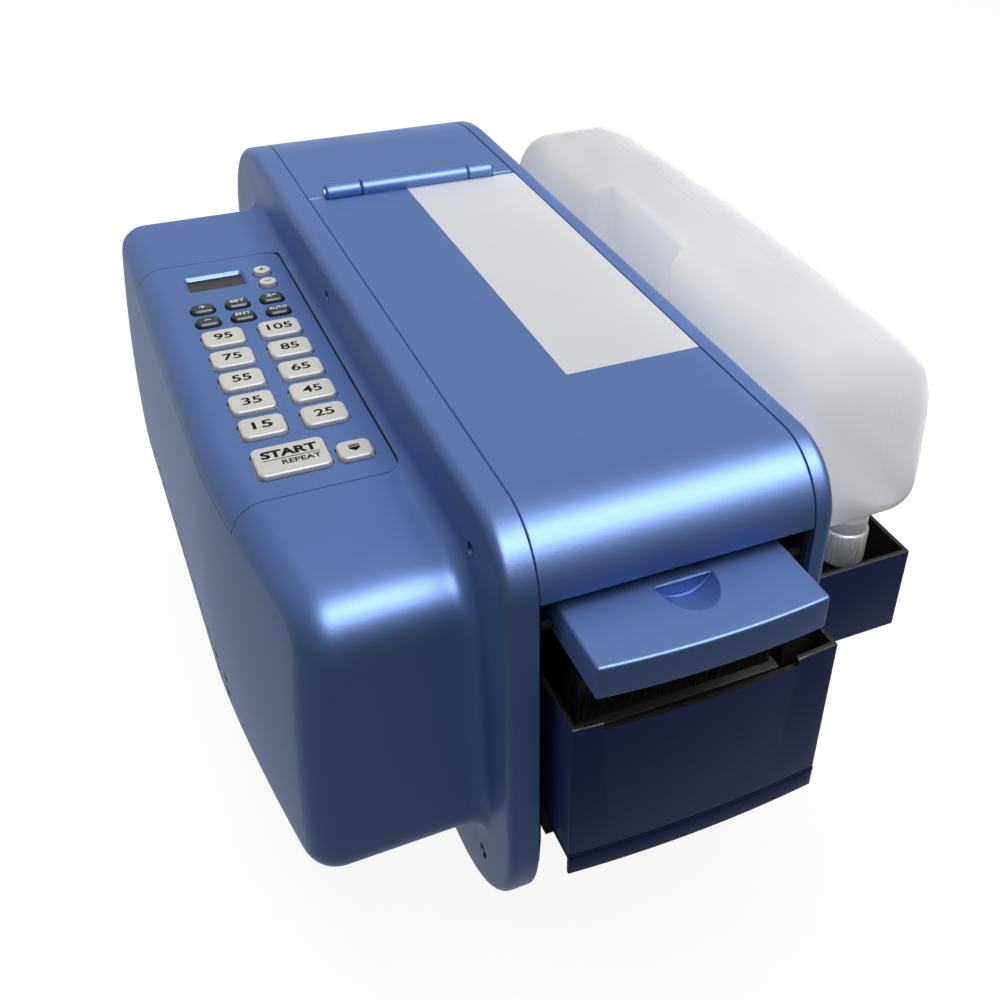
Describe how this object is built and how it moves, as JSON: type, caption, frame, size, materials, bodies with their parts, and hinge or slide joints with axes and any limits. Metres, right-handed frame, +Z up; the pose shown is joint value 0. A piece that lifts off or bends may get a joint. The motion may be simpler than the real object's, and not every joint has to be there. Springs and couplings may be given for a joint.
{
  "type": "gummed tape dispenser",
  "caption": "Table-top electric dispenser that feeds, wets and cuts gummed paper tape for sealing cartons, with keypad, water bottle and hinged lid.",
  "frame": {"origin": "centre of the overall footprint, at table level", "axes": "+Z up; -Y is the front, where the tape comes out; +X is the water bottle's side"},
  "size_m": [0.3288, 0.558, 0.283],
  "materials": {
    "cover_blue": "satin metallic blue paint",
    "tank_navy": "satin dark blue paint",
    "steel": "zinc-plated sheet",
    "black_plastic": "moulded",
    "heater_black": "black coated plate",
    "bristle": "dense nylon bristles on a black holder",
    "display_glass": "smoked window",
    "board_green": "printed circuit board",
    "milky_plastic": "translucent blow-moulded",
    "cap_white": "moulded",
    "kraft_paper": "gummed kraft paper",
    "roller_grey": "moulded",
    "black_rubber": "matt",
    "motor_grey": "satin",
    "alloy": "machined",
    "key_white": "warm white silicone",
    "key_dark": "dark green-black silicone"
  },
  "bodies": {
    "machine": {"base_pan": "tank_navy", "left_side_plate": "steel", "right_side_plate": "steel", "left_housing": "cover_blue", "keypad_panel": "cover_blue", "display_window": "display_glass", "control_board": "board_green", "right_cover": "cover_blue", "rear_cover": "cover_blue", "hinge_pin": "steel", "heater_cover_pin": "steel", "side_reservoir": "tank_navy", "water_spout": "black_plastic", "fixed_blade": "steel", "cutter_solenoid": "black_plastic", "drive_motor": "motor_grey", "drive_belt": "black_rubber", "power_supply": "steel", "mains_inlet": "black_plastic", "foot_left_front": "black_rubber", "foot_left_rear": "black_rubber", "foot_right_front": "black_rubber", "foot_right_rear": "black_rubber"},
    "lid": {"lid": "cover_blue"},
    "heater_cover": {"heater_cover": "cover_blue", "heater_plate": "heater_black"},
    "brush_tank": {"brush_tank": "tank_navy", "wetting_brush": "bristle"},
    "water_bottle": {"water_bottle": "milky_plastic"},
    "bottle_cap": {"bottle_cap": "cap_white"},
    "tape_roll": {"tape_roll": "kraft_paper"},
    "roll_roller_front": {"roll_roller_front": "roller_grey"},
    "roll_roller_rear": {"roll_roller_rear": "roller_grey"},
    "feed_roller": {"feed_roller": "black_rubber", "feed_pulley": "alloy"},
    "motor_pulley": {"motor_pulley": "alloy"},
    "pressure_arm": {"pressure_arm": "steel"},
    "pressure_roller": {"pressure_roller": "black_rubber"},
    "moving_blade": {"moving_blade": "steel"},
    "power_switch": {"power_switch": "black_plastic"},
    "key_15": {"key_15": "key_white"},
    "key_25": {"key_25": "key_white"},
    "key_35": {"key_35": "key_white"},
    "key_45": {"key_45": "key_white"},
    "key_55": {"key_55": "key_white"},
    "key_65": {"key_65": "key_white"},
    "key_75": {"key_75": "key_white"},
    "key_85": {"key_85": "key_white"},
    "key_95": {"key_95": "key_white"},
    "key_105": {"key_105": "key_white"},
    "key_minus": {"key_minus": "key_dark"},
    "key_enter": {"key_enter": "key_dark"},
    "key_auto": {"key_auto": "key_dark"},
    "key_plus": {"key_plus": "key_dark"},
    "key_set": {"key_set": "key_dark"},
    "key_twice": {"key_twice": "key_dark"},
    "key_trim_less": {"key_trim_less": "key_white"},
    "key_trim_more": {"key_trim_more": "key_white"},
    "key_start": {"key_start": "key_white"},
    "key_cut": {"key_cut": "key_white"}
  },
  "joints": [
    {"name": "lid_hinge", "type": "hinge", "parent": "machine", "child": "lid", "pos_m": [0.008, 0.096, 0.2655], "axis": [-1, 0, 0], "range_deg": [0, 95]},
    {"name": "heater_cover_tilt", "type": "hinge", "parent": "machine", "child": "heater_cover", "pos_m": [0.008, -0.235, 0.215], "axis": [-1, 0, 0], "range_deg": [0, 20]},
    {"name": "brush_tank_slide", "type": "slide", "parent": "machine", "child": "brush_tank", "axis": [0, -1, 0], "range_m": [0, 0.12]},
    {"name": "water_bottle_lift", "type": "slide", "parent": "machine", "child": "water_bottle", "axis": [0, 0, 1], "range_m": [0, 0.06]},
    {"name": "bottle_cap_turn", "type": "hinge", "parent": "water_bottle", "child": "bottle_cap", "pos_m": [0.1255, -0.196, 0.195], "axis": [0, 0, -1], "range_deg": [0, 360]},
    {"name": "tape_roll_spin", "type": "hinge", "parent": "machine", "child": "tape_roll", "pos_m": [0.008, 0.014, 0.17787], "axis": [1, 0, 0], "continuous": true},
    {"name": "roll_roller_front_spin", "type": "hinge", "parent": "machine", "child": "roll_roller_front", "pos_m": [0.008, -0.036, 0.11], "axis": [1, 0, 0], "continuous": true},
    {"name": "roll_roller_rear_spin", "type": "hinge", "parent": "machine", "child": "roll_roller_rear", "pos_m": [0.008, 0.064, 0.11], "axis": [1, 0, 0], "continuous": true},
    {"name": "feed_roller_spin", "type": "hinge", "parent": "machine", "child": "feed_roller", "pos_m": [0.008, -0.136, 0.181], "axis": [1, 0, 0], "continuous": true},
    {"name": "motor_pulley_spin", "type": "hinge", "parent": "machine", "child": "motor_pulley", "pos_m": [-0.0765, -0.136, 0.105], "axis": [1, 0, 0], "continuous": true},
    {"name": "pressure_arm_lift", "type": "hinge", "parent": "machine", "child": "pressure_arm", "pos_m": [0.008, -0.101, 0.217], "axis": [-1, 0, 0], "range_deg": [0, 12], "stiffness_Nm_per_rad": 2, "springref_deg": -2.86},
    {"name": "pressure_roller_spin", "type": "hinge", "parent": "pressure_arm", "child": "pressure_roller", "pos_m": [0.008, -0.136, 0.2086], "axis": [1, 0, 0], "continuous": true},
    {"name": "moving_blade_slide", "type": "slide", "parent": "machine", "child": "moving_blade", "axis": [0, 0, -1], "range_m": [0, 0.01], "stiffness_N_per_m": 400, "springref_m": -0.01},
    {"name": "power_switch_rock", "type": "hinge", "parent": "machine", "child": "power_switch", "pos_m": [-0.1145, 0.1865, 0.135], "axis": [1, 0, 0], "range_deg": [0, 12]},
    {"name": "key_15_press", "type": "slide", "parent": "machine", "child": "key_15", "axis": [0, 0, -1], "range_m": [0, 0.0012], "stiffness_N_per_m": 300, "springref_m": -0.0005},
    {"name": "key_25_press", "type": "slide", "parent": "machine", "child": "key_25", "axis": [0, 0, -1], "range_m": [0, 0.0012], "stiffness_N_per_m": 300, "springref_m": -0.0005},
    {"name": "key_35_press", "type": "slide", "parent": "machine", "child": "key_35", "axis": [0, 0, -1], "range_m": [0, 0.0012], "stiffness_N_per_m": 300, "springref_m": -0.0005},
    {"name": "key_45_press", "type": "slide", "parent": "machine", "child": "key_45", "axis": [0, 0, -1], "range_m": [0, 0.0012], "stiffness_N_per_m": 300, "springref_m": -0.0005},
    {"name": "key_55_press", "type": "slide", "parent": "machine", "child": "key_55", "axis": [0, 0, -1], "range_m": [0, 0.0012], "stiffness_N_per_m": 300, "springref_m": -0.0005},
    {"name": "key_65_press", "type": "slide", "parent": "machine", "child": "key_65", "axis": [0, 0, -1], "range_m": [0, 0.0012], "stiffness_N_per_m": 300, "springref_m": -0.0005},
    {"name": "key_75_press", "type": "slide", "parent": "machine", "child": "key_75", "axis": [0, 0, -1], "range_m": [0, 0.0012], "stiffness_N_per_m": 300, "springref_m": -0.0005},
    {"name": "key_85_press", "type": "slide", "parent": "machine", "child": "key_85", "axis": [0, 0, -1], "range_m": [0, 0.0012], "stiffness_N_per_m": 300, "springref_m": -0.0005},
    {"name": "key_95_press", "type": "slide", "parent": "machine", "child": "key_95", "axis": [0, 0, -1], "range_m": [0, 0.0012], "stiffness_N_per_m": 300, "springref_m": -0.0005},
    {"name": "key_105_press", "type": "slide", "parent": "machine", "child": "key_105", "axis": [0, 0, -1], "range_m": [0, 0.0012], "stiffness_N_per_m": 300, "springref_m": -0.0005},
    {"name": "key_minus_press", "type": "slide", "parent": "machine", "child": "key_minus", "axis": [0, 0, -1], "range_m": [0, 0.0012], "stiffness_N_per_m": 300, "springref_m": -0.0005},
    {"name": "key_enter_press", "type": "slide", "parent": "machine", "child": "key_enter", "axis": [0, 0, -1], "range_m": [0, 0.0012], "stiffness_N_per_m": 300, "springref_m": -0.0005},
    {"name": "key_auto_press", "type": "slide", "parent": "machine", "child": "key_auto", "axis": [0, 0, -1], "range_m": [0, 0.0012], "stiffness_N_per_m": 300, "springref_m": -0.0005},
    {"name": "key_plus_press", "type": "slide", "parent": "machine", "child": "key_plus", "axis": [0, 0, -1], "range_m": [0, 0.0012], "stiffness_N_per_m": 300, "springref_m": -0.0005},
    {"name": "key_set_press", "type": "slide", "parent": "machine", "child": "key_set", "axis": [0, 0, -1], "range_m": [0, 0.0012], "stiffness_N_per_m": 300, "springref_m": -0.0005},
    {"name": "key_twice_press", "type": "slide", "parent": "machine", "child": "key_twice", "axis": [0, 0, -1], "range_m": [0, 0.0012], "stiffness_N_per_m": 300, "springref_m": -0.0005},
    {"name": "key_trim_less_press", "type": "slide", "parent": "machine", "child": "key_trim_less", "axis": [0, 0, -1], "range_m": [0, 0.0012], "stiffness_N_per_m": 300, "springref_m": -0.0005},
    {"name": "key_trim_more_press", "type": "slide", "parent": "machine", "child": "key_trim_more", "axis": [0, 0, -1], "range_m": [0, 0.0012], "stiffness_N_per_m": 300, "springref_m": -0.0005},
    {"name": "key_start_press", "type": "slide", "parent": "machine", "child": "key_start", "axis": [0, 0, -1], "range_m": [0, 0.0012], "stiffness_N_per_m": 300, "springref_m": -0.0005},
    {"name": "key_cut_press", "type": "slide", "parent": "machine", "child": "key_cut", "axis": [0, 0, -1], "range_m": [0, 0.0012], "stiffness_N_per_m": 300, "springref_m": -0.0005}
  ],
  "couplings": [
    {"joint": "roll_roller_front_spin", "follows": "tape_roll_spin", "ratio": -6},
    {"joint": "roll_roller_rear_spin", "follows": "tape_roll_spin", "ratio": -6},
    {"joint": "motor_pulley_spin", "follows": "feed_roller_spin", "ratio": 1.2857},
    {"joint": "pressure_roller_spin", "follows": "feed_roller_spin", "ratio": -1.25}
  ]
}
